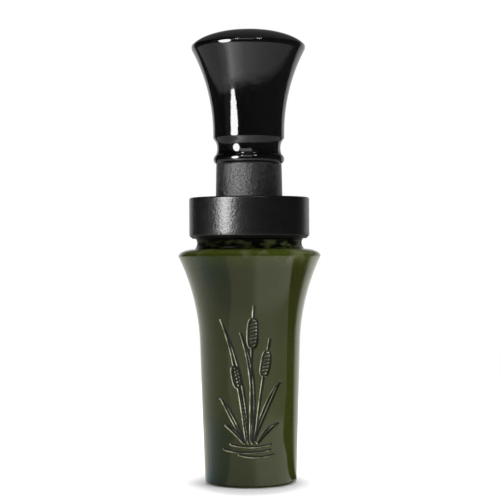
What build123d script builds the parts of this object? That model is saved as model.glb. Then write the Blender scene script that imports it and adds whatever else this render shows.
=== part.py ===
from build123d import *
import math
import os

# A double-reed duck call standing on its mouthpiece, in millimetres.
# Origin: centre of the mouthpiece's end face. +Z runs up along the call's axis to the bell's mouth.
# +Y points from the flat of the tone board towards the reeds that lie on it.
# Every turned piece is a profile in the XZ plane, as (radius, height), revolved about Z.

os.makedirs("parts", exist_ok=True)

# ---- Driving dimensions -------------------------------------------------------------------------

INCH = 25.4

# Barrel, from the mouthpiece up
MOUTH_R = 12.3  # outside, at the end face
WAIST_Z = 37.5
WAIST_R = 13.44  # where the cone turns into the flare
SHOULDER_Z = 60.6
FLARE_R = 1.5 * INCH / 2  # widest ring, the full size of the rod it is turned from
SHOULDER_RISE = 1.9  # height of the rounded shoulder over the flare's edge
SHOULDER_R = 14.75  # where the shoulder meets the lanyard groove
GROOVE_R = 14.02  # bottom of the lanyard groove
TENON_R = 14.4  # glued seat of the band

# Band
BAND_R = 16.1
BAND_BASE_Z = 65.3
BAND_TOP_Z = 76.2
GLUE_GAP = 0.02

# Bores of the barrel
MOUTH_BORE_R = 0.625 * INCH / 2
MOUTH_BORE_LENGTH = 15.5
CHAMBER_R = 8.25
SEAT_Z = 58.9  # step that the insert lands on
SOCKET_R = 9.0

# Insert core
CORE_BASE_Z = 59.0
CORE_R = 8.95
SHANK_TOP_Z = 85.0
SHANK_TOP_R = 8.77
STUB_R = 7.0
STUB_TOP_Z = 97.0

# Tone board, the tongue below the core
BOARD_R = 7.6
BOARD_TIP_Z = 16.5
FLAT_Y = 1.2  # height of its flat over the axis
RAMP_DROP = 1.5  # how far its flat falls away from the reeds at the tip
HINGE_Z = 58.0  # front edge of the wedge, where the reeds start to be free

# Tone channel, bored along the core and open along the board
CHANNEL_R = 2.9
CHANNEL_END_Z = 26.0

# Reeds and wedge
REED_WIDTH = 0.5 * INCH
REED_THICKNESS = 0.25
REED_CORNER_R = 3.0
MAIN_REED_TIP_Z = 17.2
TOP_REED_TIP_Z = 19.6
POCKET_WIDTH = 13.0
POCKET_HEIGHT = 2.8
POCKET_DEPTH = 7.0
WEDGE_WIDTH = 12.4

# O-rings
RING_GROOVE_WIDTH = 2.2
RING_GROOVE_DEPTH = 1.45
RING_WIDTH = 1.9
LOWER_RING_Z = 69.2
UPPER_RING_Z = 73.6
RING_CLEARANCE = 0.02

# Bell
BEAD_R = 9.5
BEAD_Z = 86.5
COVE_R = 8.5
BELL_EDGE_Z = 92.2
BELL_STEM_R = 9.55
STEM_TOP_Z = 93.4
RIM_R = 15.25
RIM_Z = 116.5
RIM_TOP_R = 14.9  # where the rounded rim meets the dome
DOME_CENTRE_Z = 115.2  # the dome is part of an ellipsoid that is wider than the rim
DOME_R = 15.89
DOME_RISE = 6.0
EXHAUST_R = 0.5 * INCH / 2
EXHAUST_LENGTH = 8.0

BODY_RADIUS = 30  # larger than any radius of the call, for cuts that run right across it


# ---- Barrel -------------------------------------------------------------------------------------

LIP_ROUND = 0.8
BORE_ROUND = 1.2
EDGE_INSET_R = 0.05  # the flare stops this far short of its widest ring
EDGE_INSET_Z = 0.15
EDGE_ARC = 12  # degrees of the shoulder's ellipse that the rounded edge takes
SOCKET_CHAMFER = 0.5
RELIEF_LENGTH = 1.0  # of the cone between the mouth bore and the wider chamber

with BuildPart() as barrel:
    with BuildSketch(Plane.XZ):
        with BuildLine():
            rest_face = Line((MOUTH_BORE_R, 0), (MOUTH_R, 0))
            cone = Line(rest_face @ 1, (WAIST_R, WAIST_Z))
            flare_top = (FLARE_R - EDGE_INSET_R, SHOULDER_Z - EDGE_INSET_Z)
            flare = TangentArc(cone @ 1, flare_top, tangent=cone % 1)
            shoulder = EllipticalCenterArc(
                (SHOULDER_R, SHOULDER_Z),
                FLARE_R - SHOULDER_R,
                SHOULDER_RISE,
                start_angle=EDGE_ARC,
                arc_size=90 - EDGE_ARC,
            )
            TangentArc(flare @ 1, shoulder @ 0, tangent=flare % 1)
            groove_middle_z = (SHOULDER_Z + SHOULDER_RISE + BAND_BASE_Z) / 2
            groove = ThreePointArc(
                shoulder @ 1, (GROOVE_R, groove_middle_z), (TENON_R, BAND_BASE_Z)
            )
            Polyline(
                groove @ 1,
                (TENON_R, BAND_TOP_Z),
                (SOCKET_R, BAND_TOP_Z),
                (SOCKET_R, SEAT_Z),
                (CHAMBER_R, SEAT_Z),
                (CHAMBER_R, MOUTH_BORE_LENGTH + RELIEF_LENGTH),
                (MOUTH_BORE_R, MOUTH_BORE_LENGTH),
                rest_face @ 0,
            )
        make_face()
    revolve(axis=Axis.Z)
    end_edges = barrel.edges().group_by(Axis.Z)[0].sort_by(SortBy.RADIUS)
    fillet(end_edges[0], BORE_ROUND)
    fillet(end_edges[-1], LIP_ROUND)
    socket_mouth = barrel.edges().group_by(Axis.Z)[-1].sort_by(SortBy.RADIUS)[0]
    chamfer(socket_mouth, SOCKET_CHAMFER)
barrel.part.label = "barrel"
export_step(barrel.part, "parts/barrel.step")


# ---- Band: a plain ring glued on the barrel's tenon ---------------------------------------------

BAND_TOP_CHAMFER = 0.3
BAND_BASE_CHAMFER = 0.8

with BuildPart() as barrel_band:
    with BuildSketch(Plane.XY.offset(BAND_BASE_Z)):
        Circle(BAND_R)
        Circle(TENON_R + GLUE_GAP, mode=Mode.SUBTRACT)
    extrude(amount=BAND_TOP_Z - BAND_BASE_Z)
    base_rim = barrel_band.edges().group_by(Axis.Z)[0].sort_by(SortBy.RADIUS)[-1]
    chamfer(base_rim, BAND_BASE_CHAMFER)
    top_rim = barrel_band.edges().group_by(Axis.Z)[-1].sort_by(SortBy.RADIUS)[-1]
    chamfer(top_rim, BAND_TOP_CHAMFER)
barrel_band.part.label = "barrel_band"
export_step(barrel_band.part, "parts/barrel_band.step")


# ---- Tone board: tenon, shank and stub in one turned core, with the half-round board below ------

CORE_CHAMFER = 0.4
TIP_ROUND = 2.0

with BuildPart() as tone_board:
    with BuildSketch(Plane.XZ):
        Polygon(
            (0, CORE_BASE_Z),
            (CORE_R - CORE_CHAMFER, CORE_BASE_Z),
            (CORE_R, CORE_BASE_Z + CORE_CHAMFER),
            (CORE_R, BAND_TOP_Z),
            (SHANK_TOP_R, SHANK_TOP_Z),
            (STUB_R, SHANK_TOP_Z),
            (STUB_R, STUB_TOP_Z - CORE_CHAMFER),
            (STUB_R - CORE_CHAMFER, STUB_TOP_Z),
            (0, STUB_TOP_Z),
            align=None,
        )
        with Locations((CORE_R, LOWER_RING_Z), (CORE_R, UPPER_RING_Z)):
            Rectangle(2 * RING_GROOVE_DEPTH, RING_GROOVE_WIDTH, mode=Mode.SUBTRACT)
    revolve(axis=Axis.Z)

    with BuildSketch(Plane.XY.offset(BOARD_TIP_Z)):
        Circle(BOARD_R)
    extrude(amount=CORE_BASE_Z - BOARD_TIP_Z)

    # Above the flat everything is cut away, level as far as the wedge and then down the ramp.
    with BuildSketch(Plane.YZ):
        Polygon(
            (FLAT_Y, CORE_BASE_Z),
            (FLAT_Y, HINGE_Z),
            (FLAT_Y - RAMP_DROP, BOARD_TIP_Z),
            (BODY_RADIUS, BOARD_TIP_Z),
            (BODY_RADIUS, CORE_BASE_Z),
            align=None,
        )
    extrude(amount=BODY_RADIUS, both=True, mode=Mode.SUBTRACT)

    # The pocket continues the flat into the core and holds the reeds' ends under the wedge.
    with BuildSketch(Plane.XY.offset(CORE_BASE_Z)):
        with Locations((0, FLAT_Y)):
            Rectangle(POCKET_WIDTH, POCKET_HEIGHT, align=(Align.CENTER, Align.MIN))
    extrude(amount=POCKET_DEPTH, mode=Mode.SUBTRACT)

    with BuildSketch(Plane.XY.offset(CHANNEL_END_Z)):
        Circle(CHANNEL_R)
    extrude(amount=STUB_TOP_Z - CHANNEL_END_Z, mode=Mode.SUBTRACT)
    with Locations((0, 0, CHANNEL_END_Z)):
        Sphere(CHANNEL_R, mode=Mode.SUBTRACT)

    tip_face = tone_board.faces().sort_by(Axis.Z)[0]
    fillet(tip_face.edges().filter_by(GeomType.CIRCLE), TIP_ROUND)
tone_board.part.label = "tone_board"
export_step(tone_board.part, "parts/tone_board.step")


# ---- Bell: bead, cove and flared end piece on the core's stub -----------------------------------

BEAD_ROOT_R = 8.85
BEAD_HALF_HEIGHT = 1.2
COVE_TOP_Z = 91.1
COVE_TOP_R = 8.8
FLARE_TOP_Z = 115.6
FLARE_TOP_R = 15.0
EXHAUST_ROUND = 0.7
LIP_WIDTH = 0.8
dome_start = math.degrees(math.acos(RIM_TOP_R / DOME_R))
dome_end = math.degrees(math.acos((EXHAUST_R + LIP_WIDTH) / DOME_R))

with BuildPart() as bell:
    with BuildSketch(Plane.XZ):
        with BuildLine():
            seat = Line((STUB_R + GLUE_GAP, SHANK_TOP_Z), (SHANK_TOP_R, SHANK_TOP_Z))
            bead_foot = Line(seat @ 1, (BEAD_ROOT_R, BEAD_Z - BEAD_HALF_HEIGHT))
            bead = ThreePointArc(
                bead_foot @ 1, (BEAD_R, BEAD_Z), (BEAD_ROOT_R, BEAD_Z + BEAD_HALF_HEIGHT)
            )
            cove_middle_z = (BEAD_Z + BEAD_HALF_HEIGHT + COVE_TOP_Z) / 2
            cove = ThreePointArc(bead @ 1, (COVE_R, cove_middle_z), (COVE_TOP_R, COVE_TOP_Z))
            edge_bevel = Line(cove @ 1, (BELL_STEM_R, BELL_EDGE_Z))
            stem = Line(edge_bevel @ 1, (BELL_STEM_R, STEM_TOP_Z))
            bell_flare = TangentArc(stem @ 1, (FLARE_TOP_R, FLARE_TOP_Z), tangent=stem % 1)
            rim = TangentArc(bell_flare @ 1, (RIM_R, RIM_Z), tangent=bell_flare % 1)
            dome = EllipticalCenterArc(
                (0, DOME_CENTRE_Z),
                DOME_R,
                DOME_RISE,
                start_angle=dome_start,
                arc_size=dome_end - dome_start,
            )
            TangentArc(rim @ 1, dome @ 0, tangent=rim % 1)
            lip_z = (dome @ 1).Y
            Polyline(
                dome @ 1,
                (EXHAUST_R, lip_z),
                (EXHAUST_R, lip_z - EXHAUST_LENGTH),
                (CHANNEL_R, STUB_TOP_Z),
                (STUB_R + GLUE_GAP, STUB_TOP_Z),
                seat @ 0,
            )
        make_face()
    revolve(axis=Axis.Z)
    exhaust_mouth = bell.edges().group_by(Axis.Z)[-1].sort_by(SortBy.RADIUS)[0]
    fillet(exhaust_mouth, EXHAUST_ROUND)
bell.part.label = "bell"
export_step(bell.part, "parts/bell.step")


# ---- Reeds: two strips of plastic film, one on the other -----------------------------------------

REED_END_Z = CORE_BASE_Z + POCKET_DEPTH - 0.2
TOP_REED_Y = FLAT_Y + REED_THICKNESS
WEDGE_Y = TOP_REED_Y + REED_THICKNESS

with BuildPart() as main_reed:
    with BuildSketch(Plane.XZ.offset(-FLAT_Y)):
        with Locations((0, MAIN_REED_TIP_Z)):
            Rectangle(REED_WIDTH, REED_END_Z - MAIN_REED_TIP_Z, align=(Align.CENTER, Align.MIN))
    extrude(amount=-REED_THICKNESS)
    fillet(main_reed.edges().filter_by(Axis.Y).group_by(Axis.Z)[0], REED_CORNER_R)
main_reed.part.label = "main_reed"
export_step(main_reed.part, "parts/main_reed.step")

# The top reed is shorter. A dimple pressed into it keeps the two from sticking together.
DIMPLE_Z = 31.0
DIMPLE_R = 1.6
DIMPLE_HEIGHT = 0.35

with BuildPart() as top_reed:
    with BuildSketch(Plane.XZ.offset(-TOP_REED_Y)):
        with Locations((0, TOP_REED_TIP_Z)):
            Rectangle(REED_WIDTH, REED_END_Z - TOP_REED_TIP_Z, align=(Align.CENTER, Align.MIN))
        with Locations((0, DIMPLE_Z)):
            Circle(DIMPLE_R, mode=Mode.SUBTRACT)
    extrude(amount=-REED_THICKNESS)
    tip_corners = top_reed.edges().filter_by(Axis.Y).filter_by(GeomType.LINE).group_by(Axis.Z)[0]
    fillet(tip_corners, REED_CORNER_R)
    with BuildSketch(Plane.XY.offset(DIMPLE_Z)):
        with BuildLine():
            hollow = TangentArc(
                (0, TOP_REED_Y + DIMPLE_HEIGHT), (DIMPLE_R, TOP_REED_Y), tangent=(1, 0)
            )
            bump = TangentArc(
                (0, WEDGE_Y + DIMPLE_HEIGHT), (DIMPLE_R, WEDGE_Y), tangent=(1, 0)
            )
            Line(hollow @ 0, bump @ 0)
            Line(hollow @ 1, bump @ 1)
        make_face()
    revolve(axis=Axis((0, 0, DIMPLE_Z), (0, 1, 0)))
top_reed.part.label = "top_reed"
export_step(top_reed.part, "parts/top_reed.step")


# ---- Wedge: the cork block that clamps both reeds in the pocket ----------------------------------

WEDGE_BEVEL = 0.8
WEDGE_TOP_Y = FLAT_Y + POCKET_HEIGHT

with BuildPart() as wedge:
    with BuildSketch(Plane.YZ):
        Polygon(
            (WEDGE_Y, HINGE_Z),
            (WEDGE_TOP_Y - WEDGE_BEVEL, HINGE_Z),
            (WEDGE_TOP_Y, HINGE_Z + WEDGE_BEVEL),
            (WEDGE_TOP_Y, REED_END_Z),
            (WEDGE_Y, REED_END_Z),
            align=None,
        )
    extrude(amount=WEDGE_WIDTH / 2, both=True)
wedge.part.label = "wedge"
export_step(wedge.part, "parts/wedge.step")


# ---- O-rings, squeezed between the core's grooves and the barrel's socket -------------------------

ring_inner_r = CORE_R - RING_GROOVE_DEPTH + RING_CLEARANCE
ring_outer_r = SOCKET_R - RING_CLEARANCE
ring_section = ring_outer_r - ring_inner_r

for ring_name, ring_z in (("lower_o_ring", LOWER_RING_Z), ("upper_o_ring", UPPER_RING_Z)):
    with BuildPart() as o_ring:
        with BuildSketch(Plane.XZ):
            with Locations(((ring_inner_r + ring_outer_r) / 2, ring_z)):
                RectangleRounded(ring_section, RING_WIDTH, radius=0.48 * ring_section)
        revolve(axis=Axis.Z)
    o_ring.part.label = ring_name
    export_step(o_ring.part, f"parts/{ring_name}.step")
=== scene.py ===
import math

import bpy
import numpy as np
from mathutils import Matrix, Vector


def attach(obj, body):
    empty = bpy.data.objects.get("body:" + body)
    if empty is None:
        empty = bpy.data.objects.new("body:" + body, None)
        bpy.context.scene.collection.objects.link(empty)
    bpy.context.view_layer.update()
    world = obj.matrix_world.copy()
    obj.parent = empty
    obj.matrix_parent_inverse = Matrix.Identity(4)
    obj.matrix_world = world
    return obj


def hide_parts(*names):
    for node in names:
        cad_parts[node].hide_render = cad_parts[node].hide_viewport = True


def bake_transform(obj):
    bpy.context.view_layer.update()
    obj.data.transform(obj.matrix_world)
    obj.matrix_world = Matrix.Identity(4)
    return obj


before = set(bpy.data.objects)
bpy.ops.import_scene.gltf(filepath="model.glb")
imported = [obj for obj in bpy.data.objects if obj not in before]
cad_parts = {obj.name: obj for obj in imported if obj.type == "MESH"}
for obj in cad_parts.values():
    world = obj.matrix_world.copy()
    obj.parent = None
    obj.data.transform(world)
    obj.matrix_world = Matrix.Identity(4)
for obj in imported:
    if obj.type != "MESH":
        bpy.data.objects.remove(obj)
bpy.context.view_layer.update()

# A duck call standing on its mouthpiece. Outlines of turned pieces are (radius, height) in
# millimetres, as in the CAD model, and MM takes them to metres. The call's front faces -Y.

MM = 0.001
TAU = 2 * math.pi
SAME_POINT = 1e-6  # points of an outline closer than this are one, mm
LEAST_SLOPE = 1e-6  # added to a slope that may be 0 before something is divided by it
BAND_COLUMNS, BELL_COLUMNS = 160, 180
scene = bpy.context.scene


# ---- Outline pieces: each gives points from its start up to its end --------------------------------


def straight(start, end, step):
    """Points from start to end, about step millimetres apart."""
    start, end = np.array(start, float), np.array(end, float)
    count = max(1, round(float(np.linalg.norm(end - start)) / step))
    return start + np.linspace(0, 1, count + 1)[:, None] * (end - start)


def sweep(centre, radius, first, turn, step):
    """Points round a centre, from angle first through angle turn."""
    count = max(2, round(abs(turn) * radius / step))
    angles = first + np.linspace(0, 1, count + 1) * turn
    return np.array(centre) + radius * np.stack([np.cos(angles), np.sin(angles)], axis=1)


def tangent_arc(start, heading, end, step):
    """A circular arc that leaves start along heading and stops at end."""
    start, end = np.array(start, float), np.array(end, float)
    heading = np.array(heading, float) / np.linalg.norm(heading)
    left = np.array([-heading[1], heading[0]])
    chord = end - start
    side = float(chord @ left)
    radius = float(chord @ chord) / (2 * side)
    centre = start + radius * left
    spoke = start - centre
    turn = 2 * math.atan2(side, float(chord @ heading))
    return sweep(centre, abs(radius), math.atan2(spoke[1], spoke[0]), turn, step)


def end_heading(points):
    """The direction in which a stretch ends."""
    return points[-1] - points[-2]


def arc_through(start, middle, end, step):
    """A circular arc from start to end by way of middle."""
    (ax, ay), (bx, by), (cx, cy) = start, middle, end
    four_areas = 2 * (ax * (by - cy) + bx * (cy - ay) + cx * (ay - by))
    a_square, b_square, c_square = ax * ax + ay * ay, bx * bx + by * by, cx * cx + cy * cy
    centre = (
        (a_square * (by - cy) + b_square * (cy - ay) + c_square * (ay - by)) / four_areas,
        (a_square * (cx - bx) + b_square * (ax - cx) + c_square * (bx - ax)) / four_areas,
    )
    first = math.atan2(ay - centre[1], ax - centre[0])
    last = math.atan2(cy - centre[1], cx - centre[0])
    turn = last - first
    inside = math.copysign(1, (bx - ax) * (cy - ay) - (by - ay) * (cx - ax))
    if inside * turn < 0:
        turn += inside * TAU
    return sweep(centre, math.hypot(ax - centre[0], ay - centre[1]), first, turn, step)


def ellipse_arc(centre, across, up, first, last, count):
    """Points of an ellipse with half widths across and up, between two angles in degrees."""
    angles = np.radians(np.linspace(first, last, count + 1))
    return np.array(centre) + np.stack([across * np.cos(angles), up * np.sin(angles)], axis=1)


def joined(*stretches):
    """One closed outline from stretches, without the points that two stretches share."""
    points = np.vstack(stretches)
    gaps = np.linalg.norm(points - np.roll(points, 1, axis=0), axis=1)
    return points[gaps > SAME_POINT]


# ---- Meshes ----------------------------------------------------------------------------------------


def mesh_piece(name, vertices, faces, crease=40):
    """A smooth-shaded object with edges sharper than crease degrees kept hard."""
    mesh = bpy.data.meshes.new(name)
    mesh.from_pydata(vertices, [], faces)
    mesh.validate()
    mesh.shade_smooth()
    mesh.set_sharp_from_angle(angle=math.radians(crease))
    piece = bpy.data.objects.new(name, mesh)
    scene.collection.objects.link(piece)
    return piece


def even_turn(count):
    return np.linspace(0, TAU, count, endpoint=False)


def turned_vertices(radii, heights, angles):
    """Rows of points round Z, in metres. Angle 0 is the front, -Y, and angles grow towards +X."""
    x = radii * np.sin(angles)
    y = -radii * np.cos(angles)
    z = heights * np.ones_like(x)
    return np.stack([x, y, z], axis=-1).reshape(-1, 3) * MM


def ring_faces(rows, columns):
    """Quads of a closed outline of rows points revolved through columns angles."""
    row, column = np.meshgrid(np.arange(rows), np.arange(columns), indexing="ij")
    next_row, next_column = (row + 1) % rows, (column + 1) % columns
    corners = [
        row * columns + column,
        row * columns + next_column,
        next_row * columns + next_column,
        next_row * columns + column,
    ]
    return np.stack(corners, axis=-1).reshape(-1, 4).tolist()


def turned(name, outline, angles, crease=40):
    radii, heights = outline[:, :1], outline[:, 1:]
    vertices = turned_vertices(radii, heights, angles[None, :])
    return mesh_piece(name, vertices, ring_faces(len(outline), len(angles)), crease)


# ---- Material tools --------------------------------------------------------------------------------


class Tree:
    """A node tree with short ways to add and link nodes."""

    def __init__(self, tree):
        self.tree = tree

    def add(self, kind, **settings):
        node = self.tree.nodes.new(kind)
        for key, value in settings.items():
            setattr(node, key, value)
        return node

    def link(self, source, target):
        self.tree.links.new(source, target)

    def ranged(self, value, low, high, to_low, to_high):
        """to_low where value is low, to_high where it is high, and held beyond both."""
        ramp = self.add("ShaderNodeMapRange")
        for key, number in zip(
            ("From Min", "From Max", "To Min", "To Max"), (low, high, to_low, to_high)
        ):
            ramp.inputs[key].default_value = number
        self.link(value, ramp.inputs["Value"])
        return ramp.outputs["Result"]

    def math(self, operation, *values):
        """An operation on values, each a number or a socket."""
        node = self.add("ShaderNodeMath", operation=operation)
        for socket, value in zip(node.inputs, values):
            if isinstance(value, (int, float)):
                socket.default_value = value
            else:
                self.link(value, socket)
        return node.outputs["Value"]


class Look(Tree):
    """A material's node tree round its Principled shader."""

    def __init__(self, name):
        self.material = bpy.data.materials.new(name)
        self.material.use_nodes = True
        super().__init__(self.material.node_tree)
        self.shader = self.tree.nodes["Principled BSDF"]

    def set(self, **values):
        """Sets the shader's own sockets, with underscores for spaces in their names."""
        for key, value in values.items():
            self.shader.inputs[key.replace("_", " ")].default_value = value

    def place(self):
        """Object coordinates in millimetres."""
        coordinates = self.add("ShaderNodeTexCoord")
        scaled = self.add("ShaderNodeVectorMath", operation="SCALE")
        scaled.inputs["Scale"].default_value = 1 / MM
        self.link(coordinates.outputs["Object"], scaled.inputs[0])
        return scaled.outputs["Vector"]

    def stretched(self, place, factors):
        mapping = self.add("ShaderNodeVectorMath", operation="MULTIPLY")
        mapping.inputs[1].default_value = factors
        self.link(place, mapping.inputs[0])
        return mapping.outputs["Vector"]

    def noise(self, place, per_mm, detail=3.0, roughness=0.5):
        texture = self.add("ShaderNodeTexNoise")
        texture.inputs["Scale"].default_value = per_mm
        texture.inputs["Detail"].default_value = detail
        texture.inputs["Roughness"].default_value = roughness
        self.link(place, texture.inputs["Vector"])
        return texture.outputs["Fac"]

    def attribute(self, name):
        """The node that reads a value stored at the mesh's points."""
        return self.add("ShaderNodeAttribute", attribute_name=name)

    def mixed(self, factor, first, second):
        """A colour between two colours, each a colour or a socket."""
        mix = self.add("ShaderNodeMix", data_type="RGBA")
        self.link(factor, mix.inputs["Factor"])
        for key, colour in (("A", first), ("B", second)):
            socket = next(i for i in mix.inputs if i.name == key and i.type == "RGBA")
            if isinstance(colour, tuple):
                socket.default_value = (*colour, 1)
            else:
                self.link(colour, socket)
        return next(o for o in mix.outputs if o.type == "RGBA")

    def bumped(self, height, depth_mm, normal=None):
        """A normal that height, from 0 to 1 and as deep as depth_mm, tilts away from normal."""
        bump = self.add("ShaderNodeBump")
        bump.inputs["Strength"].default_value = 1.0
        bump.inputs["Distance"].default_value = depth_mm * MM
        self.link(height, bump.inputs["Height"])
        if normal is not None:
            self.link(normal, bump.inputs["Normal"])
        return bump.outputs["Normal"]


# ---- Materials -------------------------------------------------------------------------------------

ACRYLIC_IOR = 1.49
# Heights in mm between which the barrel's look changes.
# FLARE_SHADE_Z is where the flare's painted shade comes in.
FLARE_SHADE_Z = (34, 54)
# SHOULDER_LIGHT_Z is where the shoulder's painted light and painted reflections come in.
SHOULDER_LIGHT_Z = (57.0, 61.5)
NECK_TONE_Z = (62.2, 62.8)
BAND_SHADE_Z = (64.5, 65.0)
NECK_DULL_Z = (61.9, 63.6)
NECK_DIM_Z = (62.6, 63.6)


def black_gloss():
    """Polished black acrylic with faint buffing marks round the axis."""
    look = Look("black_gloss_acrylic")
    place = look.place()
    smudges = look.noise(place, 0.35, detail=4)
    look.set(IOR=ACRYLIC_IOR)
    look.link(
        look.mixed(smudges, (0.003, 0.003, 0.0033), (0.006, 0.006, 0.0065)),
        look.shader.inputs["Base Color"],
    )
    look.link(look.ranged(smudges, 0.3, 0.7, 0.05, 0.09), look.shader.inputs["Roughness"])
    rings = look.noise(look.stretched(place, (0.15, 0.15, 3.0)), 0.8, detail=5)
    waves = look.noise(place, 0.22, detail=3)
    look.link(look.bumped(rings, 0.003, look.bumped(waves, 0.07)), look.shader.inputs["Normal"])
    return look.material


def satin_band():
    """Satin black with fine turning marks and a faint mottle."""
    look = Look("satin_black")
    place = look.place()
    cloud = look.noise(place, 0.5, detail=5)
    look.set(IOR=1.5, Specular_IOR_Level=0.12, Coat_Weight=0.70, Coat_Roughness=0.23, Coat_IOR=1.5)
    look.link(
        look.mixed(cloud, (0.002, 0.002, 0.0022), (0.005, 0.005, 0.0052)),
        look.shader.inputs["Base Color"],
    )
    look.link(look.ranged(cloud, 0.3, 0.7, 0.42, 0.54), look.shader.inputs["Roughness"])
    rings = look.noise(look.stretched(place, (0.2, 0.2, 6.0)), 0.8, detail=4)
    mottle = look.noise(place, 1.3, detail=4, roughness=0.6)
    worked = look.bumped(rings, 0.006, look.bumped(mottle, 0.08))
    look.link(worked, look.shader.inputs["Normal"])
    look.link(worked, look.shader.inputs["Coat Normal"])
    return look.material


def matte_core():
    """Matte black with a coarse sanded grain."""
    look = Look("matte_black_core")
    place = look.place()
    grain = look.noise(place, 1.0, detail=6, roughness=0.7)
    look.set(IOR=1.5)
    look.link(
        look.mixed(look.ranged(grain, 0.35, 0.65, 0, 1), (0.006, 0.006, 0.0062), (0.026, 0.026, 0.026)),
        look.shader.inputs["Base Color"],
    )
    look.link(look.ranged(grain, 0.3, 0.7, 0.30, 0.42), look.shader.inputs["Roughness"])
    look.link(look.bumped(grain, 0.30), look.shader.inputs["Normal"])
    return look.material


def acrylic_colour(look, place, height):
    """Olive, swirled on the wall, with painted shade on the flare, painted light and paler clouds of
    painted reflection on the shoulder, and dark in the neck with painted light in patches and painted
    shade under the band.
    """
    swirl = look.noise(look.stretched(place, (1.0, 1.0, 0.2)), 0.12, detail=4)
    # The flare is painted darker than the cone: painted shade on the wall that faces down.
    flare = look.mixed(swirl, (0.020, 0.022, 0.0045), (0.031, 0.0335, 0.0085))
    cone = look.mixed(swirl, (0.026, 0.031, 0.0045), (0.039, 0.045, 0.009))
    wall = look.mixed(look.ranged(height, *FLARE_SHADE_Z, 0, 1), cone, flare)
    # The shoulder is painted a lighter olive as painted light through its thin rim, with paler clouds as
    # painted reflections.
    cloud = look.noise(look.stretched(place, (1.0, 1.0, 0.8)), 0.17, detail=3)
    in_reflection = look.ranged(cloud, 0.54, 0.68, 0, 1)
    lit_crown = look.mixed(in_reflection, (0.038, 0.050, 0.006), (0.100, 0.105, 0.050))
    shoulder = look.mixed(look.ranged(height, *SHOULDER_LIGHT_Z, 0, 1), wall, lit_crown)
    # Olive patches in the dark neck are painted light. Under the band the neck is painted nearly black
    # as painted shade.
    neck_light = look.noise(look.stretched(place, (1.0, 1.0, 2.6)), 0.30, detail=3)
    in_neck_light = look.ranged(neck_light, 0.46, 0.60, 0, 1)
    neck = look.mixed(in_neck_light, (0.0015, 0.002, 0.001), (0.055, 0.068, 0.022))
    under_band = look.ranged(height, *BAND_SHADE_Z, 0, 1)
    dark_neck = look.mixed(under_band, neck, (0.0012, 0.0012, 0.001))
    return look.mixed(look.ranged(height, *NECK_TONE_Z, 0, 1), shoulder, dark_neck)


def engraved_colour(look, place, body, groove):
    """The body's colour with painted shade in the grooves, and a painted highlight on the walls that
    face LIT_FROM, broken up by noise.
    """
    facing = look.attribute("wall_facing").outputs["Fac"]
    # Noise that breaks up the painted highlight on the lit walls.
    highlight_breakup = look.noise(place, 0.45, detail=2)
    past_edge = look.ranged(groove, 0.02, 0.12, 0, 1)
    before_floor = look.ranged(groove, 0.35, 0.6, 1, 0)
    wall = look.math("MULTIPLY", past_edge, before_floor)
    lit_walls = look.math("MULTIPLY", wall, look.ranged(facing, 0.0, 0.7, 0.02, 1.0))
    painted_highlight = look.math("MULTIPLY", lit_walls, look.ranged(highlight_breakup, 0.38, 0.62, 0.3, 1.0))
    # Painted shade deep in the grooves.
    shaded_grooves = look.mixed(look.ranged(groove, 0.05, 0.3, 0, 1), body, (0.005, 0.006, 0.003))
    return look.mixed(painted_highlight, shaded_grooves, (0.80, 0.80, 0.55))


def olive_acrylic():
    """Polished olive acrylic. The mesh's engraving attribute is 1 in the middle of a groove."""
    look = Look("olive_acrylic")
    place = look.place()
    axes = look.add("ShaderNodeSeparateXYZ")
    look.link(place, axes.inputs[0])
    height = axes.outputs["Z"]
    body = acrylic_colour(look, place, height)
    groove = look.attribute("engraving").outputs["Fac"]
    look.link(engraved_colour(look, place, body, groove), look.shader.inputs["Base Color"])
    groove_dull = look.ranged(groove, 0.0, 0.4, 0.04, 0.35)
    neck_dull = look.ranged(height, *NECK_DULL_Z, 0.04, 0.5)
    look.link(look.math("MAXIMUM", groove_dull, neck_dull), look.shader.inputs["Roughness"])
    neck_dim = look.ranged(height, *NECK_DIM_Z, 0.5, 0.08)
    look.link(neck_dim, look.shader.inputs["Specular IOR Level"])
    look.set(IOR=ACRYLIC_IOR)
    buffing = look.noise(look.stretched(place, (0.2, 0.2, 2.0)), 0.5, detail=4)
    look.link(look.bumped(buffing, 0.003), look.shader.inputs["Normal"])
    return look.material


def cork():
    """Natural cork: warm tan with darker pores."""
    look = Look("cork")
    place = look.place()
    grains = look.add("ShaderNodeTexVoronoi")
    grains.inputs["Scale"].default_value = 1.4
    look.link(place, grains.inputs["Vector"])
    pores = look.noise(place, 1.8, detail=5, roughness=0.6)
    tone = look.mixed(pores, (0.20, 0.10, 0.045), (0.50, 0.32, 0.17))
    look.link(look.mixed(look.ranged(pores, 0.30, 0.42, 1, 0), tone, (0.06, 0.03, 0.015)),
           look.shader.inputs["Base Color"])
    look.set(Roughness=0.85)
    look.link(look.bumped(look.math("ADD", pores, grains.outputs["Distance"]), 0.2),
           look.shader.inputs["Normal"])
    return look.material


def reed_film():
    """Frosted translucent polyester film."""
    look = Look("reed_film")
    place = look.place()
    haze = look.noise(place, 1.1, detail=4)
    look.link(look.mixed(haze, (0.62, 0.64, 0.60), (0.78, 0.79, 0.75)), look.shader.inputs["Base Color"])
    look.link(look.ranged(haze, 0.3, 0.7, 0.28, 0.42), look.shader.inputs["Roughness"])
    look.set(IOR=1.57, Transmission_Weight=0.35)
    brushing = look.noise(look.stretched(place, (6.0, 1.0, 0.3)), 1.5, detail=3)
    look.link(look.bumped(brushing, 0.004), look.shader.inputs["Normal"])
    return look.material


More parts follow.
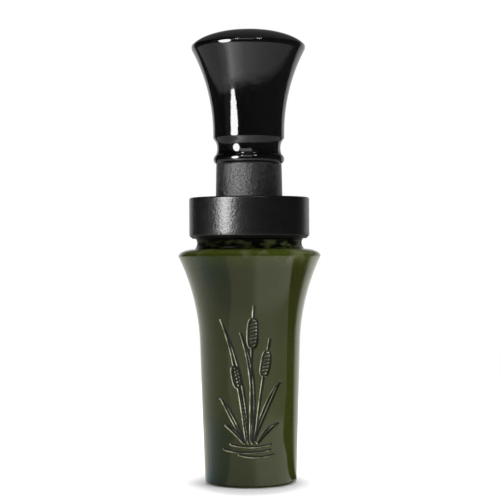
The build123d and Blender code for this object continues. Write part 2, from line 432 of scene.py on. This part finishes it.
def ring_rubber():
    """Black nitrile rubber."""
    look = Look("o_ring_rubber")
    place = look.place()
    dust = look.noise(place, 3.0, detail=4)
    look.link(look.mixed(dust, (0.010, 0.010, 0.010), (0.022, 0.022, 0.022)),
           look.shader.inputs["Base Color"])
    look.link(look.ranged(dust, 0.3, 0.7, 0.38, 0.5), look.shader.inputs["Roughness"])
    look.link(look.bumped(dust, 0.01), look.shader.inputs["Normal"])
    return look.material


def coat_with(piece, material):
    piece.data.materials.clear()
    piece.data.materials.append(material)


# ---- Barrel: olive acrylic with an engraved stand of cattails ---------------------------------------

REST_R = 11.5  # outer radius of the ring on which the call stands
LIP_R, LIP_Z = 12.325, 0.8  # where the rounded lip ends
CONE_LOW_R = 12.49
CONE_TOP_R, CONE_TOP_Z = 13.44, 37.5
FLARE_R, FLARE_Z = 19.0, 60.45
SHOULDER_R, SHOULDER_Z = 14.75, 60.6  # centre of the shoulder's elliptical round
SHOULDER_ACROSS, SHOULDER_UP = 4.3, 1.9
GROOVE_R, GROOVE_Z = 14.02, 63.9  # bottom of the lanyard groove
TENON_R = 14.4
BAND_LOW_Z, BARREL_TOP_Z = 65.3, 76.2
SOCKET_R, SOCKET_LOW_Z, SOCKET_CHAMFER = 9.0, 58.9, 0.5
CHAMBER_R, CHAMBER_LOW_Z = 8.25, 16.5
MOUTH_BORE_R, MOUTH_BORE_TOP_Z, MOUTH_ROUND = 7.9375, 15.5, 1.2

ENGRAVING_LOW, ENGRAVING_HIGH = 6.5, 49.5  # heights between which the surface is fine, mm
ENGRAVING_HALF_TURN = math.radians(37)
ENGRAVING_R = 13.2  # radius that turns the drawing's widths into angles, mm
WALL_INSIDE_R = 12  # the outer wall is outside this radius wherever it is engraved, mm
FINE_STEP = 0.15
BACK_COLUMNS = 82
STROKE_POINTS = 33
GROOVE_HALF_WIDTH = 0.38
GROOVE_DEPTH = 0.25
LIT_FROM = (0.8, 0.6)  # across and up, the side from which the grooves' walls get their painted highlight

SPIKE_LENGTH = 3.2
HEAD_BULGE, HEAD_CAP = 1.3, 0.75  # shares of the seed head's half width and width
HATCH_SPACING, HATCH_SLANT = 0.95, 0.25
HATCH_SHARE = 0.7  # of the seed head's half width


def bezier(*points):
    """Points along a Bezier curve of any degree."""
    share = np.linspace(0, 1, STROKE_POINTS)[:, None]
    stage = [np.array(point, float)[None, :] for point in points]
    while len(stage) > 1:
        stage = [here + share * (there - here) for here, there in zip(stage, stage[1:])]
    return stage[0]


def leaf(foot, bend, tip, width):
    """Two edges from a foot to a tip, width apart in the middle."""
    foot, bend, tip = (np.array(point, float) for point in (foot, bend, tip))
    along = (tip - foot) / np.linalg.norm(tip - foot)
    aside = np.array([along[1], -along[0]]) * width
    return [bezier(foot, bend + aside, tip), bezier(foot, bend - aside, tip)]


def cattail(foot, bend, top, head_length, head_width):
    """A stem, a seed head as an outline with slanting hatches, and a spike above it."""
    foot, bend, top = (np.array(point, float) for point in (foot, bend, top))
    along = (top - bend) / np.linalg.norm(top - bend)
    aside = np.array([along[1], -along[0]])
    head_top = top - SPIKE_LENGTH * along
    head_foot = head_top - head_length * along
    half = aside * head_width / 2
    cap = along * head_width * HEAD_CAP
    strokes = [bezier(foot, bend, head_foot), bezier(head_top, top)]
    for side in (half, -half):
        strokes.append(
            bezier(head_foot, head_foot + side * HEAD_BULGE, head_foot + side + cap,
                   head_top + side - cap, head_top + side * HEAD_BULGE, head_top)
        )
    rungs = round(head_length / HATCH_SPACING)
    reach = half * HATCH_SHARE + along * HATCH_SLANT
    for rung in range(1, rungs):
        middle = head_foot + along * head_length * rung / rungs
        strokes.append(bezier(middle - reach, middle + reach))
    return strokes


def ripple(middle, half_width, sag):
    """A line of water that hangs below its two ends."""
    left, right = (middle[0] - half_width, middle[1]), (middle[0] + half_width, middle[1])
    return [bezier(left, (middle[0], middle[1] - sag), right)]


def drawing():
    """Strokes of the engraving, as millimetres across the front and up."""
    strokes = []
    strokes += cattail((0.0, 12.5), (0.2, 30), (1.0, 47.5), 7.5, 2.3)
    strokes += cattail((1.3, 12.5), (2.6, 24), (5.2, 39.0), 6.5, 2.1)
    strokes += cattail((-1.2, 12.5), (-2.4, 22), (-4.9, 35.0), 5.5, 1.9)
    strokes += leaf((-0.6, 12.0), (-1.8, 30), (-7.6, 44.0), 0.9)
    strokes += leaf((0.6, 12.0), (5.0, 24), (8.2, 27.5), 0.9)
    strokes += leaf((-1.6, 12.0), (-5.4, 20), (-8.4, 23.5), 0.8)
    strokes += leaf((0.4, 12.0), (2.0, 30), (-2.4, 40.5), 0.8)
    strokes += leaf((1.9, 12.0), (4.6, 16), (7.8, 17.0), 0.7)
    strokes += leaf((-2.0, 12.0), (-3.6, 15), (-7.0, 16.4), 0.7)
    strokes += ripple((0.0, 11.6), 5.6, 1.2)
    strokes += ripple((-1.2, 10.2), 6.6, 1.3)
    strokes += ripple((1.6, 8.9), 4.8, 1.1)
    return strokes


def groove_field(across, up):
    """How deep in a groove each point is, from 0 at its edge to 1 in its middle."""
    points = np.stack([across, up], axis=-1)
    nearest = np.full(across.shape, np.inf)
    margin = 1  # round a stroke's box, and wider than half a groove
    for stroke in drawing():
        low, high = stroke.min(axis=0) - margin, stroke.max(axis=0) + margin
        near = np.all((points > low) & (points < high), axis=-1)
        some = points[near]
        for start, end in zip(stroke[:-1], stroke[1:]):
            run = end - start
            share = np.clip((some - start) @ run / max(float(run @ run), 1e-9), 0, 1)
            away = np.linalg.norm(some - start - share[:, None] * run, axis=1)
            nearest[near] = np.minimum(nearest[near], away)
    return np.clip(1 - nearest / GROOVE_HALF_WIDTH, 0, 1)


def barrel_outline():
    """The barrel's closed outline, outside first, from the mouthpiece's lip upward."""
    lip = tangent_arc((REST_R, 0), (1, 0), (LIP_R, LIP_Z), 0.12)
    low_cone = straight(lip[-1], (CONE_LOW_R, ENGRAVING_LOW), 0.8)
    cone = straight(low_cone[-1], (CONE_TOP_R, CONE_TOP_Z), FINE_STEP)
    flare = tangent_arc(cone[-1], end_heading(cone), (FLARE_R, FLARE_Z), FINE_STEP)
    shoulder = ellipse_arc((SHOULDER_R, SHOULDER_Z), SHOULDER_ACROSS, SHOULDER_UP, 12, 90, 40)
    edge = tangent_arc(flare[-1], end_heading(flare), shoulder[0], 0.06)
    groove = arc_through(shoulder[-1], (GROOVE_R, GROOVE_Z), (TENON_R, BAND_LOW_Z), 0.12)
    tenon = straight(groove[-1], (TENON_R, BARREL_TOP_Z), 2.0)
    top = straight(tenon[-1], (SOCKET_R + SOCKET_CHAMFER, BARREL_TOP_Z), 2.0)
    socket = np.array([
        (SOCKET_R, BARREL_TOP_Z - SOCKET_CHAMFER),
        (SOCKET_R, SOCKET_LOW_Z),
        (CHAMBER_R, SOCKET_LOW_Z),
        (CHAMBER_R, CHAMBER_LOW_Z),
        (MOUTH_BORE_R, MOUTH_BORE_TOP_Z),
    ])
    bore = straight(socket[-1], (MOUTH_BORE_R, MOUTH_ROUND), 5.0)
    bore_round = tangent_arc(bore[-1], (0, -1), (MOUTH_BORE_R + MOUTH_ROUND, 0), 0.15)
    rest = straight(bore_round[-1], lip[0], 1.5)
    return joined(lip, low_cone, cone, flare, edge, shoulder, groove, tenon, top, socket, bore,
                  bore_round, rest)


def barrel_angles():
    """Columns that are fine across the engraving and coarse round the back."""
    fine_count = round(2 * ENGRAVING_HALF_TURN * ENGRAVING_R / FINE_STEP)
    fine = np.linspace(-ENGRAVING_HALF_TURN, ENGRAVING_HALF_TURN, fine_count + 1)
    coarse = np.linspace(ENGRAVING_HALF_TURN, TAU - ENGRAVING_HALF_TURN, BACK_COLUMNS)[1:-1]
    return np.concatenate([fine, coarse])


def engraving_on(radii, heights, angles):
    """The drawing wrapped round the outer wall, as groove_field gives it."""
    wrapped = np.where(angles > math.pi, angles - TAU, angles)
    across = wrapped[None, :] * ENGRAVING_R * np.ones_like(radii)
    field = groove_field(across, heights)
    outside = (heights < ENGRAVING_LOW) | (heights > ENGRAVING_HIGH)
    field[(radii < WALL_INSIDE_R) | outside] = 0
    return field


def wall_facing(field, heights):
    """How much each groove's wall faces LIT_FROM, from -1 to 1."""
    down_rows, down_columns = np.gradient(field)
    rise = np.sign(np.gradient(heights, axis=0))
    steepness = np.hypot(down_rows, down_columns) + LEAST_SLOPE
    return (down_columns * LIT_FROM[0] + down_rows * rise * LIT_FROM[1]) / steepness


def mark_points(mesh, name, values):
    """Stores a value for each point, which a material reads by name."""
    marks = mesh.attributes.new(name, "FLOAT", "POINT")
    marks.data.foreach_set("value", values.reshape(-1).astype(np.float32))


def make_barrel():
    outline, angles = barrel_outline(), barrel_angles()
    radii = np.repeat(outline[:, :1], len(angles), axis=1)
    heights = np.repeat(outline[:, 1:], len(angles), axis=1)
    field = engraving_on(radii, heights, angles)
    radii = radii - GROOVE_DEPTH * np.sin(field * math.pi / 2)
    vertices = turned_vertices(radii, heights, angles[None, :])
    piece = mesh_piece("acrylic_barrel", vertices, ring_faces(*radii.shape), crease=50)
    mark_points(piece.data, "engraving", field)
    mark_points(piece.data, "wall_facing", wall_facing(field, heights))
    coat_with(piece, olive_acrylic())
    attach(piece, "barrel")
    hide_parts("barrel")
    return piece


# ---- Band ------------------------------------------------------------------------------------------


def make_band():
    low, high, outer, inner = BAND_LOW_Z, BARREL_TOP_Z, 16.1, 14.42
    base_chamfer, top_chamfer, edge_round = 0.8, 0.3, 0.1
    base_edge = (outer - edge_round, low + base_chamfer - edge_round)
    base_arc = tangent_arc(base_edge, (1, 1), (outer, low + base_chamfer + edge_round), 0.04)
    top_edge = (outer, high - top_chamfer - edge_round)
    top_arc = tangent_arc(top_edge, (0, 1), (outer - edge_round, high - top_chamfer + edge_round), 0.04)
    outline = joined(
        straight((outer - base_chamfer, low), base_edge, 0.1),
        base_arc,
        straight(base_arc[-1], top_edge, 1.0),
        top_arc,
        straight(top_arc[-1], (outer - top_chamfer, high), 0.1),
        straight((outer - top_chamfer, high), (inner, high), 0.8),
        straight((inner, high), (inner, low), 4.0),
        straight((inner, low), (outer - base_chamfer, low), 0.8),
    )
    piece = turned("band_ring", outline, even_turn(BAND_COLUMNS), crease=25)
    coat_with(piece, satin_band())
    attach(piece, "barrel")
    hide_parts("barrel_band")
    return piece


# ---- Bell ------------------------------------------------------------------------------------------


def bell_outline():
    """Bead, cove, bevel, flare, rim, dome and exhaust, from the seat on the shank upward."""
    stub_r, seat_z, stub_top_z = 7.02, 85.0, 97.0
    neck_r, bead_r, cove_r, stem_r = 8.85, 9.5, 8.5, 9.55
    exhaust_r, exhaust_round, exhaust_depth = 6.35, 0.8, 8.0
    throat_r = 2.9  # where the exhaust's cone meets the stub's channel
    dome_foot_r, dome_r, dome_rise, dome_centre_z = 14.9, 15.89, 6.0, 115.2
    dome_start = math.degrees(math.acos(dome_foot_r / dome_r))
    dome_end = math.degrees(math.acos((exhaust_r + exhaust_round) / dome_r))
    seat = straight((stub_r, seat_z), (8.77, seat_z), 0.5)
    foot = straight(seat[-1], (neck_r, 85.3), 0.1)
    bead = arc_through(foot[-1], (bead_r, 86.5), (neck_r, 87.7), 0.08)
    cove = arc_through(bead[-1], (cove_r, 89.4), (8.8, 91.1), 0.1)
    bevel = straight(cove[-1], (stem_r, 92.2), 0.2)
    stem = straight(bevel[-1], (stem_r, 93.4), 0.3)
    flare = tangent_arc(stem[-1], (0, 1), (15.0, 115.6), 0.3)
    rim = tangent_arc(flare[-1], end_heading(flare), (15.25, 116.5), 0.1)
    dome = ellipse_arc((0, dome_centre_z), dome_r, dome_rise, dome_start, dome_end, 60)
    rim_top = tangent_arc(rim[-1], end_heading(rim), dome[0], 0.06)
    lip_z = dome[-1][1]
    lip_end = (exhaust_r, lip_z - exhaust_round)
    lip = arc_through(dome[-1], (exhaust_r + 0.22, lip_z - 0.2), lip_end, 0.08)
    bore = straight(lip[-1], (exhaust_r, lip_z - exhaust_depth), 1.5)
    cone = straight(bore[-1], (throat_r, stub_top_z), 1.5)
    stub = np.array([(stub_r, stub_top_z), (stub_r, seat_z)])
    return joined(seat, foot, bead, cove, bevel, stem, flare, rim, rim_top, dome, lip, bore, cone,
                  stub)


def make_bell():
    piece = turned("bell_end", bell_outline(), even_turn(BELL_COLUMNS), crease=35)
    coat_with(piece, black_gloss())
    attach(piece, "insert")
    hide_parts("bell")
    return piece


# ---- Inner pieces ----------------------------------------------------------------------------------


FLAT_Y = 1.2  # height of the tone board's flat, on which the reeds lie, mm
REED_THICKNESS = 0.25
REED_GAP = 0.01  # left free on both faces of a reed, so that the two don't touch
REED_WIDTH = 12.7
REED_COLUMNS = 49
REED_CORNER_R = 3.0
MAIN_REED_TIP_Z, TOP_REED_TIP_Z = 17.2, 19.6
REED_END_Z = 64.8
DIMPLE_Z, DIMPLE_R, DIMPLE_HEIGHT = 31.0, 1.6, 0.35


def reed_rows(tip_z):
    """Heights of a reed's rows, close together round the tip's corners and the dimple."""
    corner = tip_z + REED_CORNER_R * (1 - np.cos(np.radians(np.linspace(0, 90, 13))))
    low = straight((corner[-1], 0), (DIMPLE_Z - 2 * DIMPLE_R, 0), 1.0)[1:, 0]
    dimple = straight((low[-1], 0), (DIMPLE_Z + 2 * DIMPLE_R, 0), 0.2)[1:, 0]
    high = straight((dimple[-1], 0), (REED_END_Z, 0), 0.8)[1:, 0]
    return np.concatenate([corner, low, dimple, high])


def strip_faces(rows, columns):
    """Faces of a closed strip: two sheets of rows by columns points and the wall round them."""
    size = rows * columns
    faces = []
    for row in range(rows - 1):
        for column in range(columns - 1):
            first = row * columns + column
            corners = (first, first + 1, first + columns + 1, first + columns)
            faces.append(corners)
            faces.append(tuple(size + corner for corner in reversed(corners)))
    border = list(range(columns))
    border += [row * columns + columns - 1 for row in range(1, rows)]
    border += [(rows - 1) * columns + column for column in range(columns - 2, -1, -1)]
    border += [row * columns for row in range(rows - 2, 0, -1)]
    for here, there in zip(border, border[1:] + border[:1]):
        faces.append((there, here, size + here, size + there))
    return faces


def make_reed(node, tip_z, low_y, dimple_height, film):
    """A strip of film from the wedge's front edge, where the insert holds it."""
    rows = reed_rows(tip_z)
    below_corner = np.clip(tip_z + REED_CORNER_R - rows, 0, REED_CORNER_R)
    half_widths = REED_WIDTH / 2 - REED_CORNER_R + np.sqrt(REED_CORNER_R**2 - below_corner**2)
    x = half_widths[:, None] * np.linspace(-1, 1, REED_COLUMNS)
    z = rows[:, None] * np.ones_like(x)
    off = np.hypot(x, z - DIMPLE_Z) / DIMPLE_R
    rise = dimple_height * np.where(off < 1, (1 + np.cos(math.pi * np.clip(off, 0, 1))) / 2, 0)
    faces_y = (low_y + REED_GAP + rise, low_y + REED_THICKNESS - REED_GAP + rise)
    sheets = [np.stack([x, y, z], axis=-1).reshape(-1, 3) for y in faces_y]
    piece = mesh_piece(node + "_film", np.vstack(sheets) * MM, strip_faces(*x.shape), crease=40)
    coat_with(piece, film)
    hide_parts(node)
    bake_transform(piece)


def finish_cad_nodes():
    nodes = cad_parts
    rubber = ring_rubber()
    for name, material in (
        ("tone_board", matte_core()),
        ("wedge", cork()),
        ("upper_o_ring", rubber),
        ("lower_o_ring", rubber),
    ):
        for slot in nodes[name].material_slots:
            slot.material = material


# ---- Studio ----------------------------------------------------------------------------------------

CAMERA_DISTANCE = 0.400
CAMERA_HEIGHT = 0.0606
CAMERA_LENS, CAMERA_SENSOR = 107.3, 36  # mm
CAMERA_SHIFT = (0.001, 0.012)
CAMERA_ROLL = math.radians(0.35)

FLOOR_HALF_SIDE = 0.32
FLOOR_LIT_FROM, FLOOR_LIT_TO = 12.5, 17.5  # mm to the side of the axis, where the floor's glow rises and ends the painted shadow round the foot
FLOOR_SHADOW_LONGER = 0.6  # the painted shadow reaches further to the front and back by one over this
# Glow that the floor adds beyond the painted shadow round the foot.
FLOOR_GLOW = 0.3

BACKDROP_LEFT, BACKDROP_RIGHT = math.radians(37), math.radians(47)  # white arc behind the call
BACKDROP_HEIGHT = 0.28  # sine of the elevation where the white behind the call ends
BACKDROP_SIDE_BLUR, BACKDROP_TOP_BLUR = 0.05, 0.12
ROOM_LEVEL, CEILING_LEVEL = 0.04, 0.12  # against 1 for the backdrop

# The table tops are only seen as reflections, below the floor. Heights are in mm, and edges are
# distances in mm by azimuth in degrees.
ACRYLIC_TABLE_Z, BLACK_TABLE_Z = -0.6, -0.3
ACRYLIC_TABLE_EDGE = ((-180, -46, 0, 71, 94, 180), (260, 252, 240, 275, 300, 260))
BLACK_TABLE_EDGE = ((-150, -120, -90, -46, 0, 46, 90, 150), (300, 600, 600, 330, 284, 300, 330, 300))
RAIL_FRONT, RAIL_BACK = 11.0, 26.0  # heights of the acrylic table's rail, mm
RAIL_SOLID_FROM = 130  # azimuth beyond which the rail hides the white backdrop

# Lamps that only the black pieces take: azimuth in degrees, distance, height and the height that
# the lamp faces, its width and height, all in metres, its radiance and its shape.
LAMPS = {
    "strip": (-45.5, 0.21, 0.129, 0.129, 0.092, 0.182, 24, "ELLIPSE"),
    "strip_halo": (-58, 0.22, 0.11, 0.11, 0.15, 0.20, 0.14, "ELLIPSE"),
    "overhead_bar": (0, 0.42, 0.56, 0.09, 0.44, 0.03, 7, "RECTANGLE"),
    "high_card": (-12, 0.42, 0.31, 0.09, 0.34, 0.16, 2.0, "RECTANGLE"),
    "left_lamp": (-27, 0.46, 0.56, 0.09, 0.05, 0.035, 60, "RECTANGLE"),
    "right_lamp": (26, 0.46, 0.56, 0.09, 0.09, 0.04, 60, "RECTANGLE"),
}


def make_camera():
    data = bpy.data.cameras.new("camera")
    camera = bpy.data.objects.new("camera", data)
    data.sensor_width = CAMERA_SENSOR
    data.lens = CAMERA_LENS
    data.shift_x, data.shift_y = CAMERA_SHIFT
    data.clip_start = 0.01
    camera.location = (0, -CAMERA_DISTANCE, CAMERA_HEIGHT)
    camera.rotation_euler = (math.radians(90), CAMERA_ROLL, 0)
    scene.collection.objects.link(camera)
    scene.camera = camera


def make_floor():
    """A white sheet under the call, dark close round its foot, where real shadow falls and its glow is
    left out as a painted shadow.
    Reflections see the table tops below instead of it."""
    side = FLOOR_HALF_SIDE
    corners = [(-side, -side, 0), (side, -side, 0), (side, side, 0), (-side, side, 0)]
    floor = mesh_piece("floor", corners, [(0, 1, 2, 3)])
    look = Look("white_floor")
    look.set(Roughness=0.9, Specular_IOR_Level=0.2, Emission_Color=(1, 1, 1, 1))
    place = look.place()
    grain = look.noise(place, 0.02, detail=2)
    tone = look.mixed(grain, (0.86, 0.86, 0.86), (0.90, 0.90, 0.90))
    look.link(tone, look.shader.inputs["Base Color"])
    # The floor glows except close round the foot, which paints a shadow there.
    spread = look.add("ShaderNodeVectorMath", operation="LENGTH")
    look.link(look.stretched(place, (1.0, FLOOR_SHADOW_LONGER, 1.0)), spread.inputs[0])
    floor_glow = look.ranged(spread.outputs["Value"], FLOOR_LIT_FROM, FLOOR_LIT_TO, 0, FLOOR_GLOW)
    look.link(floor_glow, look.shader.inputs["Emission Strength"])
    coat_with(floor, look.material)
    floor.visible_glossy = False


def eased(value, low, high):
    """0 below low, 1 above high and smooth between them."""
    share = np.clip((value - low) / (high - low), 0, 1)
    return share * share * (3 - 2 * share)


def acrylic_table_glow(distance, azimuth):
    """Colour of the table top that the acrylic reflects, by distance in millimetres and azimuth in
    degrees: a white card in front of the call and to its right, and a cool dim table elsewhere."""
    card_at = (60, 90, 200)  # distances for which the azimuths of the card's two sides are given
    card_left = np.interp(distance, card_at, (-46, -35, -52))
    card_right = np.interp(distance, card_at, (90, 80, 92))
    on_card = eased(azimuth - card_left, -2, 2) * eased(card_right - azimuth, -2, 2)
    near = 1 - eased(distance, 110, 150)
    card_near = 0.62 + 0.55 * eased(azimuth, 2, 18)
    card_far = 0.8 - 0.3 * eased(azimuth, 40, 85)
    card = near * card_near + (1 - near) * card_far
    rising = eased(-azimuth, 60, 140)
    behind_left = near * (0.25 + 0.9 * rising) + (1 - near) * (0.45 + 0.5 * rising)
    behind_right = 1.2 * eased(azimuth, 114, 132)
    dim = np.where(azimuth < 0, behind_left, behind_right)
    cool = np.where(azimuth < 0, near * (1 - rising) * (1 - on_card), 0)[..., None]
    tint = np.array([0.98, 1.0, 0.90]) + cool * np.array([-0.26, 0.05, 0.60])
    return (on_card * card + (1 - on_card) * dim)[..., None] * tint


def black_table_glow(distance, azimuth):
    """Colour of the table top that the black pieces reflect: a soft pool under the strip lamp that
    fades round to both sides and ends well in front of the call."""
    round_about = np.interp(
        azimuth,
        (-115, -78, -58, -44, -30, -10, 30, 90, 140),
        (0.45, 0.62, 1.1, 3.4, 2.2, 1.25, 0.82, 0.45, 0.30),
    )
    share = distance / np.interp(azimuth, *BLACK_TABLE_EDGE)
    return (round_about * (1 - 0.95 * eased(share, 0.7, 1.0)))[..., None] * np.ones(3)


def table_rows(height, edge_at, rails):
    """Distances, azimuths and heights of a table top's points, with its rail as the last row."""
    shares = np.concatenate([np.linspace(0.06, 1, 60), [1.0]])
    degrees = np.arange(-180, 180, 2.0)
    distances = shares[:, None] * np.interp(degrees, *edge_at)
    azimuths = np.broadcast_to(degrees, distances.shape)
    heights = np.full(distances.shape, height)
    heights[-1] = np.interp(np.abs(degrees), (60, 90), rails)
    return distances, azimuths, heights


def glowing(name):
    """Shines with the glow attribute's colour, and is see-through where the clear attribute is 1."""
    look = Look(name)
    emission = look.add("ShaderNodeEmission")
    look.link(look.attribute("glow").outputs["Color"], emission.inputs[0])
    passing = look.add("ShaderNodeBsdfTransparent")
    look.link(look.attribute("clear").outputs["Color"], passing.inputs[0])
    both = look.add("ShaderNodeAddShader")
    look.link(emission.outputs[0], both.inputs[0])
    look.link(passing.outputs[0], both.inputs[1])
    look.link(both.outputs[0], look.tree.nodes["Material Output"].inputs["Surface"])
    return look.material


def make_table(name, height, edge_at, rails, glow_at, solid, takers):
    """A table top at a height in mm, with a rail round its edge as high as rails in front and at
    the back. It is only seen as a reflection in takers, and where it isn't solid, what is behind
    it shows as well."""
    distances, azimuths, heights = table_rows(height, edge_at, rails)
    vertices = turned_vertices(distances, heights, np.radians(azimuths))
    rows, columns = distances.shape
    table = mesh_piece(name, vertices, ring_faces(rows, columns)[:-columns])
    glow = np.ones((distances.size, 4), np.float32)
    glow[:, :3] = glow_at(distances, azimuths).reshape(-1, 3)
    table.data.color_attributes.new("glow", "FLOAT_COLOR", "POINT")
    table.data.color_attributes["glow"].data.foreach_set("color", glow.reshape(-1))
    clear = np.full(distances.shape, 0.0 if solid else 1.0)
    clear[-2:, np.abs(azimuths[0]) < RAIL_SOLID_FROM] = 1
    mark_points(table.data, "clear", clear)
    coat_with(table, glowing(name + "_glow"))
    table.visible_camera = False
    table.visible_diffuse = False
    table.visible_shadow = False
    table.visible_transmission = False
    table.light_linking.receiver_collection = takers


def taken_by(name, pieces):
    """A collection of the pieces that a lamp or a reflected table top is meant for."""
    takers = bpy.data.collections.new(name)
    for piece in pieces:
        takers.objects.link(piece)
    return takers


def area_light(name, place, target, width, height, radiance, shape="RECTANGLE"):
    """A flat light at place facing target, with its brightness as radiance."""
    data = bpy.data.lights.new(name, "AREA")
    data.shape = shape
    data.size, data.size_y = width, height
    area = width * height * (math.pi / 4 if shape == "ELLIPSE" else 1)
    data.energy = radiance * area * math.pi
    light = bpy.data.objects.new(name, data)
    light.location = place
    light.rotation_euler = (Vector(target) - Vector(place)).to_track_quat("-Z", "Y").to_euler()
    light.visible_camera = False
    scene.collection.objects.link(light)
    return light


def around(azimuth, distance, height):
    """A place round the call: azimuth in degrees from the front towards +X."""
    turn = math.radians(azimuth)
    return (distance * math.sin(turn), -distance * math.cos(turn), height)


def make_lights(black_pieces):
    """Soft light on everything, and bare lamps that only the black pieces take."""
    overhead = area_light("overhead_fill", (0, 0.05, 0.75), (0, 0.05, 0), 0.5, 0.5, 11.5)
    side = area_light("side_fill", around(65, 0.5, 0.2), (0, 0, 0.05), 0.3, 0.3, 4.0)
    for fill in (overhead, side):
        fill.visible_glossy = False
    for name, (azimuth, distance, lamp_z, faced_z, *size_and_light) in LAMPS.items():
        place = around(azimuth, distance, lamp_z)
        lamp = area_light(name, place, (0, 0, faced_z), *size_and_light)
        lamp.visible_diffuse = False
        lamp.light_linking.receiver_collection = black_pieces


def make_world():
    """White for the camera. For light and reflections, white behind the call and dark in front."""
    world = bpy.data.worlds.new("studio")
    world.use_nodes = True
    scene.world = world
    sky = Tree(world.node_tree)
    sky.tree.nodes.clear()
    direction = sky.add("ShaderNodeSeparateXYZ")
    sky.link(sky.add("ShaderNodeTexCoord").outputs["Generated"], direction.inputs[0])
    turn = sky.math("ARCTAN2", direction.outputs["X"], direction.outputs["Y"])
    aside = sky.math("ABSOLUTE", sky.math("SUBTRACT", turn, (BACKDROP_RIGHT - BACKDROP_LEFT) / 2))
    half_turn = (BACKDROP_RIGHT + BACKDROP_LEFT) / 2
    side_blur, top_blur = BACKDROP_SIDE_BLUR, BACKDROP_TOP_BLUR
    behind = sky.ranged(aside, half_turn + side_blur, half_turn - side_blur, ROOM_LEVEL, 1.0)
    low = sky.ranged(direction.outputs["Z"], BACKDROP_HEIGHT + top_blur, BACKDROP_HEIGHT - top_blur,
                     CEILING_LEVEL, 1.0)
    room = sky.add("ShaderNodeBackground")
    sky.link(sky.math("MULTIPLY", behind, low), room.inputs["Strength"])
    white = sky.add("ShaderNodeBackground")
    white.inputs["Strength"].default_value = 1.0
    white.inputs["Color"].default_value = (1, 1, 1, 1)
    chosen = sky.add("ShaderNodeMixShader")
    sky.link(sky.add("ShaderNodeLightPath").outputs["Is Camera Ray"], chosen.inputs[0])
    sky.link(room.outputs[0], chosen.inputs[1])
    sky.link(white.outputs[0], chosen.inputs[2])
    sky.link(chosen.outputs[0], sky.add("ShaderNodeOutputWorld").inputs["Surface"])


# ---- The whole scene -------------------------------------------------------------------------------

scene.view_settings.view_transform = "Standard"
make_camera()
make_world()
make_floor()
acrylic_barrel = make_barrel()
band_ring = make_band()
bell_end = make_bell()
film = reed_film()
make_reed("main_reed", MAIN_REED_TIP_Z, FLAT_Y, 0.0, film)
make_reed("top_reed", TOP_REED_TIP_Z, FLAT_Y + REED_THICKNESS, DIMPLE_HEIGHT, film)
finish_cad_nodes()
acrylic_pieces = taken_by("acrylic_pieces", [acrylic_barrel])
black_pieces = taken_by("black_pieces", [band_ring, bell_end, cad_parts["tone_board"]])
make_table("acrylic_table", ACRYLIC_TABLE_Z, ACRYLIC_TABLE_EDGE, (RAIL_FRONT, RAIL_BACK),
           acrylic_table_glow, True, acrylic_pieces)
make_table("black_table", BLACK_TABLE_Z, BLACK_TABLE_EDGE, (BLACK_TABLE_Z, BLACK_TABLE_Z),
           black_table_glow, False, black_pieces)
make_lights(black_pieces)
